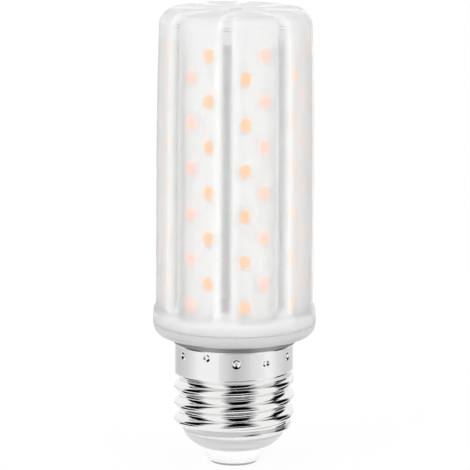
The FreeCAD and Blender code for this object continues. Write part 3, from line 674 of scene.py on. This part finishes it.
contactLow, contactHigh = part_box("centre_contact")
contactStyle = {
    "radius": contactHigh.x / mm,
    "top": contactHigh.z / mm,
    "edgeRound": 0.2,
    "discThickness": 0.55,
    "stemRadius": 1.2,
    "steps": 128,
    "color": (0.4, 0.4, 0.4),
    "roughness": 0.28,
}


def buildContact():
    s = contactStyle
    points = [(0, 0.0), (s["radius"] - s["edgeRound"], 0.0)]
    points += arcPoints((s["radius"] - s["edgeRound"], s["edgeRound"]), s["edgeRound"], -80, 0, 6)
    points += [(s["radius"], s["discThickness"]), (s["stemRadius"], s["discThickness"])]
    points += [(s["stemRadius"], s["top"]), (0, s["top"])]
    return turnClosed(points, s["steps"])


contactMetal = newMaterial("contactMetal", contactStyle["color"], contactStyle["roughness"], Metallic=1.0)
noiseBump(contactMetal, 500, 0.1)
contact = addPiece("footContact", buildContact(), [contactMetal], "centre_contact")
contact.data.set_sharp_from_angle(angle=math.radians(40))
print("cap and housing made")


# LED packages

ledStyle = {
    "width": 2.8,
    "length": 3.5,
    "thickness": 0.75,
    "columnOffset": 2.135,
    "pitch": 9.86,
    "firstHeight": 37.4,
    "perColumn": 6,
    "boardFace": 14.33,
    "bevel": 0.22,
    "windowWidth": 2.8,
    "windowLength": 3.44,
    "windowRise": 0.6,
    "windowEdge": 0.3,
    "glow": 0.2,
    "orange": (1.0, 0.5, 0.17),
    "pink": (1.0, 0.53, 0.39),
    "frame": (0.95, 0.95, 0.94),
    "leftOrange": {0, 1, 3, 5},  # the strips whose left column looks the more orange
}


def addPackage(bm, across, height, windowMaterial):
    # One package with bevelled edges and an oval window of phosphor on its face
    s = ledStyle
    verts = bmesh.ops.create_cube(bm, size=1)["verts"]
    bmesh.ops.scale(bm, verts=verts, vec=(s["width"] * mm, s["thickness"] * mm, s["length"] * mm))
    shift = Vector((across, -(s["boardFace"] + s["thickness"] / 2), height)) * mm
    bmesh.ops.translate(bm, verts=verts, vec=shift)
    front = [e for e in {e for v in verts for e in v.link_edges} if all(v.co.y < shift.y for v in e.verts)]
    bmesh.ops.bevel(
        bm, geom=front, offset=s["bevel"] * mm, segments=2, profile=0.5, affect="EDGES", material=-1,
    )
    window = bmesh.ops.create_uvsphere(bm, u_segments=24, v_segments=12, radius=1)["verts"]
    layer = bm.verts.layers.float["phosphor"]
    for vert in window:
        vert[layer] = 1 - vert.co.x ** 2 - vert.co.z ** 2
    vec = (s["windowWidth"] / 2 * mm, s["windowRise"] * mm, s["windowLength"] / 2 * mm)
    bmesh.ops.scale(bm, verts=window, vec=vec)
    place = Vector((across, -(s["boardFace"] + s["thickness"]), height)) * mm
    bmesh.ops.translate(bm, verts=window, vec=place)
    for face in {f for v in window for f in v.link_faces}:
        face.material_index = windowMaterial


def buildStripLeds(index):
    s = ledStyle
    bm = bmesh.new()
    bm.verts.layers.float.new("phosphor")
    for column in (0, 1):
        for place in range(s["perColumn"]):
            across = s["columnOffset"] * (1 if column else -1)
            addPackage(bm, across, s["firstHeight"] + s["pitch"] * (place + 0.5 * column), 1 + column)
    spacing = 360 / coverStyle["flutes"]
    turn = Matrix.Rotation(math.radians(coverStyle["flutePhase"] + spacing * (index + 0.5)), 3, "Z")
    bmesh.ops.rotate(bm, verts=bm.verts[:], cent=(0, 0, 0), matrix=turn)
    return bm


def phosphorMaterial(name, color):
    # Full colour in the middle of the window, paling to the frame's white at its edge
    material = newMaterial(name, color, 0.35)
    tree = material.node_tree
    shader = tree.nodes["Principled BSDF"]
    phosphor = tree.nodes.new("ShaderNodeAttribute")
    phosphor.attribute_name = "phosphor"
    fade = tree.nodes.new("ShaderNodeValToRGB")
    fade.color_ramp.interpolation = "EASE"
    fade.color_ramp.elements[0].color = (*ledStyle["frame"], 1)
    fade.color_ramp.elements[1].color = (*color, 1)
    fade.color_ramp.elements[1].position = ledStyle["windowEdge"]
    # The faint emission is painted light: the unlit phosphor glows in its own colour
    shader.inputs["Emission Strength"].default_value = ledStyle["glow"]
    tree.links.new(phosphor.outputs["Fac"], fade.inputs["Fac"])
    tree.links.new(fade.outputs["Color"], shader.inputs["Base Color"])
    tree.links.new(fade.outputs["Color"], shader.inputs["Emission Color"])
    noiseBump(material, 900, 0.3)
    return material


ledFrame = newMaterial("ledFrame", ledStyle["frame"], 0.4)
orangePhosphor = phosphorMaterial("orangePhosphor", ledStyle["orange"])
pinkPhosphor = phosphorMaterial("pinkPhosphor", ledStyle["pink"])
for index in range(coverStyle["flutes"]):
    window = [orangePhosphor, pinkPhosphor]
    if index not in ledStyle["leftOrange"]:
        window.reverse()
    finishes = [ledFrame] + window
    group = f"led_group_{index + 1}"
    addPiece(f"stripLeds{index + 1}", buildStripLeds(index), finishes, group, False)
print("LED packages made")


# Finishes of the CAD nodes that stay

def dress(nodeNames, material):
    for name in nodeNames:
        mesh = nodes[name].data
        mesh.materials.clear()
        mesh.materials.append(material)


boardWhite = newMaterial("boardWhite", (0.96, 0.96, 0.96), 0.45)
noiseBump(boardWhite, 200, 0.05)
stripBoards = [f"led_board_{i + 1}" for i in range(coverStyle["flutes"])]
dress(stripBoards + ["top_link_board", "bottom_link_board"], boardWhite)

innerFinishes = {
    "driver_board": ((0.05, 0.2, 0.07), (0.08, 0.28, 0.1), 0.45),
    "fuse_resistor": ((0.2, 0.35, 0.5), (0.25, 0.4, 0.55), 0.4),
    "bridge_rectifier": ((0.02, 0.02, 0.02), (0.04, 0.04, 0.04), 0.5),
    "bulk_capacitor": ((0.03, 0.04, 0.08), (0.05, 0.06, 0.1), 0.3),
    "film_capacitor": ((0.4, 0.1, 0.03), (0.5, 0.14, 0.05), 0.25),
    "choke_core": ((0.06, 0.06, 0.06), (0.1, 0.1, 0.1), 0.6),
    "choke_winding": ((0.6, 0.25, 0.08), (0.75, 0.35, 0.12), 0.3),
    "driver_chip": ((0.02, 0.02, 0.02), (0.03, 0.03, 0.03), 0.5),
    "sense_resistor": ((0.03, 0.03, 0.03), (0.05, 0.05, 0.05), 0.4),
    "live_wire": ((0.04, 0.04, 0.04), (0.06, 0.06, 0.06), 0.5),
    "neutral_wire": ((0.75, 0.75, 0.75), (0.82, 0.82, 0.82), 0.5),
    "led_wire_positive": ((0.5, 0.03, 0.02), (0.6, 0.05, 0.03), 0.5),
    "led_wire_negative": ((0.75, 0.75, 0.75), (0.82, 0.82, 0.82), 0.5),
}
for name, (darker, lighter, roughness) in innerFinishes.items():
    material = newMaterial(name + "Finish", darker, roughness)
    mottledColor(material, darker, lighter, 400)
    dress([name], material)
print("inner pieces dressed")


# Camera, floor and light

cameraStyle = {
    "distance": 788.8,
    "height": 198.2,
    "pitchDown": 10.617,
    "roll": 0.3,
    "focalPixels": 3695.1,
    "imageWidth": 470,
    "principalX": 234.8,
    "azimuth": 0.9,
}


def addCamera():
    c = cameraStyle
    data = bpy.data.cameras.new("camera")
    data.sensor_width = 36
    data.lens = data.sensor_width * c["focalPixels"] / c["imageWidth"]
    data.shift_x = (c["imageWidth"] / 2 - c["principalX"]) / c["imageWidth"]
    data.clip_start = 0.05
    data.clip_end = 50
    camera = bpy.data.objects.new("camera", data)
    bpy.context.collection.objects.link(camera)
    around = Matrix.Rotation(math.radians(c["azimuth"]), 4, "Z")
    place = Matrix.Translation((0, -c["distance"] * mm, c["height"] * mm))
    pitch = Matrix.Rotation(math.radians(90 - c["pitchDown"]), 4, "X")
    camera.matrix_world = around @ place @ pitch @ Matrix.Rotation(math.radians(c["roll"]), 4, "Z")
    bpy.context.scene.camera = camera


addCamera()


studioStyle = {
    "floorSize": 6,
    "floorGrey": (0.86, 0.86, 0.86),
    "floorWhiteShare": 0.9,
    "worldLight": 1.09,
    "lampSize": (0.6, 0.9),
    "leftPlace": (-0.9, -0.9, 0.7),
    "leftPower": 5,
    "rightPlace": (1.0, -0.8, 0.5),
    "rightPower": 4,
}


def rayShare(tree, *names):
    # One where the ray is any of the named kinds
    path = tree.nodes.new("ShaderNodeLightPath")
    total = path.outputs[names[0]]
    for name in names[1:]:
        total = linkMath(tree, "MAXIMUM", total, path.outputs[name])
    return total


def addFloor():
    bm = bmesh.new()
    bmesh.ops.create_grid(bm, x_segments=1, y_segments=1, size=studioStyle["floorSize"])
    mesh = bpy.data.meshes.new("floor")
    bm.to_mesh(mesh)
    bm.free()
    floor = bpy.data.objects.new("floor", mesh)
    bpy.context.collection.objects.link(floor)
    material = bpy.data.materials.new("floorWhite")
    material.use_nodes = True
    tree = material.node_tree
    tree.nodes.clear()
    out = tree.nodes.new("ShaderNodeOutputMaterial")
    mix = tree.nodes.new("ShaderNodeMixShader")
    plain = tree.nodes.new("ShaderNodeBsdfDiffuse")
    plain.inputs["Color"].default_value = (*studioStyle["floorGrey"], 1)
    white = tree.nodes.new("ShaderNodeEmission")
    white.inputs["Strength"].default_value = 1.0
    seen = rayShare(tree, "Is Camera Ray", "Is Glossy Ray", "Is Transmission Ray")
    tree.links.new(linkMath(tree, "MULTIPLY", seen, studioStyle["floorWhiteShare"]), mix.inputs["Fac"])
    tree.links.new(plain.outputs["BSDF"], mix.inputs[1])
    tree.links.new(white.outputs["Emission"], mix.inputs[2])
    tree.links.new(mix.outputs["Shader"], out.inputs["Surface"])
    mesh.materials.append(material)


addFloor()


def setWorld():
    world = bpy.data.worlds.new("studio")
    bpy.context.scene.world = world
    world.use_nodes = True
    tree = world.node_tree
    background = tree.nodes["Background"]
    seen = rayShare(tree, "Is Camera Ray", "Is Glossy Ray", "Is Transmission Ray")
    level = tree.nodes.new("ShaderNodeMapRange")
    level.inputs["To Min"].default_value = studioStyle["worldLight"]
    level.inputs["To Max"].default_value = 1.0
    background.inputs["Color"].default_value = (1, 1, 1, 1)
    tree.links.new(seen, level.inputs["Value"])
    tree.links.new(level.outputs["Result"], background.inputs["Strength"])


setWorld()


def addLamp(name, place, power):
    light = bpy.data.lights.new(name, "AREA")
    light.shape = "RECTANGLE"
    light.size, light.size_y = studioStyle["lampSize"]
    light.energy = power
    lamp = bpy.data.objects.new(name, light)
    bpy.context.collection.objects.link(lamp)
    aim = Vector((0, 0, 0.05)) - Vector(place)
    lamp.matrix_world = Matrix.Translation(place) @ aim.to_track_quat("-Z", "Y").to_matrix().to_4x4()
    lamp.visible_glossy = False


addLamp("leftSoftbox", studioStyle["leftPlace"], studioStyle["leftPower"])
addLamp("rightSoftbox", studioStyle["rightPlace"], studioStyle["rightPower"])


def shadeAt(stops, azimuth):
    for (low, lowShade), (high, highShade) in zip(stops, stops[1:]):
        if azimuth <= high:
            return lowShade + (highShade - lowShade) * max(azimuth - low, 0) / (high - low)
    return stops[-1][1]


def addCard(name, stops, inner, outer):
    # A card that only reflections show: a line of two (radius, height) points turned about the lamp's axis,
    # with its shade given at azimuths from the camera's side
    bm = bmesh.new()
    first, last = stops[0][0], stops[-1][0]
    verts = [bm.verts.new((0, -radius, height)) for radius, height in (inner, outer)]
    edge = bm.edges.new(verts)
    bmesh.ops.rotate(bm, verts=verts, cent=(0, 0, 0), matrix=Matrix.Rotation(math.radians(first), 3, "Z"))
    bmesh.ops.spin(
        bm, geom=verts + [edge], cent=(0, 0, 0), axis=(0, 0, 1), dvec=(0, 0, 0), steps=48,
        angle=math.radians(last - first), use_merge=False, use_normal_flip=False, use_duplicate=False,
    )
    layer = bm.verts.layers.float.new("shade")
    for vert in bm.verts:
        vert[layer] = shadeAt(stops, math.degrees(math.atan2(vert.co.x, -vert.co.y)))
    mesh = bpy.data.meshes.new(name)
    bm.to_mesh(mesh)
    bm.free()
    card = bpy.data.objects.new(name, mesh)
    bpy.context.collection.objects.link(card)
    tone = bpy.data.materials.new(name + "Tone")
    tone.use_nodes = True
    tree = tone.node_tree
    tree.nodes.clear()
    out = tree.nodes.new("ShaderNodeOutputMaterial")
    glow = tree.nodes.new("ShaderNodeEmission")
    shade = tree.nodes.new("ShaderNodeAttribute")
    shade.attribute_name = "shade"
    tree.links.new(shade.outputs["Fac"], glow.inputs["Strength"])
    tree.links.new(glow.outputs["Emission"], out.inputs["Surface"])
    mesh.materials.append(tone)
    card.visible_camera = False
    card.visible_diffuse = False
    card.visible_transmission = False
    card.visible_shadow = False


cardStyle = {
    "upright": ((0.6, 0.0005), (0.6, 1.19)),
    "ceiling": ((0.6, 1.19), (0.05, 1.2)),
    "outerFloor": ((0.25, 0.0004), (0.6, 0.0004)),
    "innerFloor": ((0.026, 0.0004), (0.06, 0.0004)),
    "farFloor": ((0.085, 0.0004), (0.25, 0.0004)),
    "dark": {
        "middle": [(-22, 0.8), (-10, 0), (30, 0), (46, 0.8)],
        "left": [(-112, 0.8), (-104, 0), (-72, 0), (-58, 0.8)],
        "right": [(84, 0.8), (92, 0), (120, 0), (130, 0.8)],
    },
    "pale": {
        "middle": [(-27, 0.86), (-11, 0.73), (4, 0.6), (19, 0.68), (35, 0.84), (60, 0.95)],
        "right": [(72, 1), (89, 0.83), (113, 0.7), (150, 0.75)],
        "left": [(-152, 0.72), (-128, 0.65), (-100, 0.72), (-79, 0.89), (-69, 1)],
    },
}
for side, stops in cardStyle["dark"].items():
    addCard(side + "Card", stops, *cardStyle["upright"])
    addCard(side + "CardTop", stops, *cardStyle["ceiling"])
    addCard(side + "CardFoot", stops, *cardStyle["outerFloor"])
    addCard(side + "CardNear", stops, *cardStyle["innerFloor"])
for side, stops in cardStyle["pale"].items():
    addCard(side + "CardFar", stops, *cardStyle["farFloor"])

bpy.context.scene.view_settings.view_transform = "Standard"
print("camera, floor and light set")
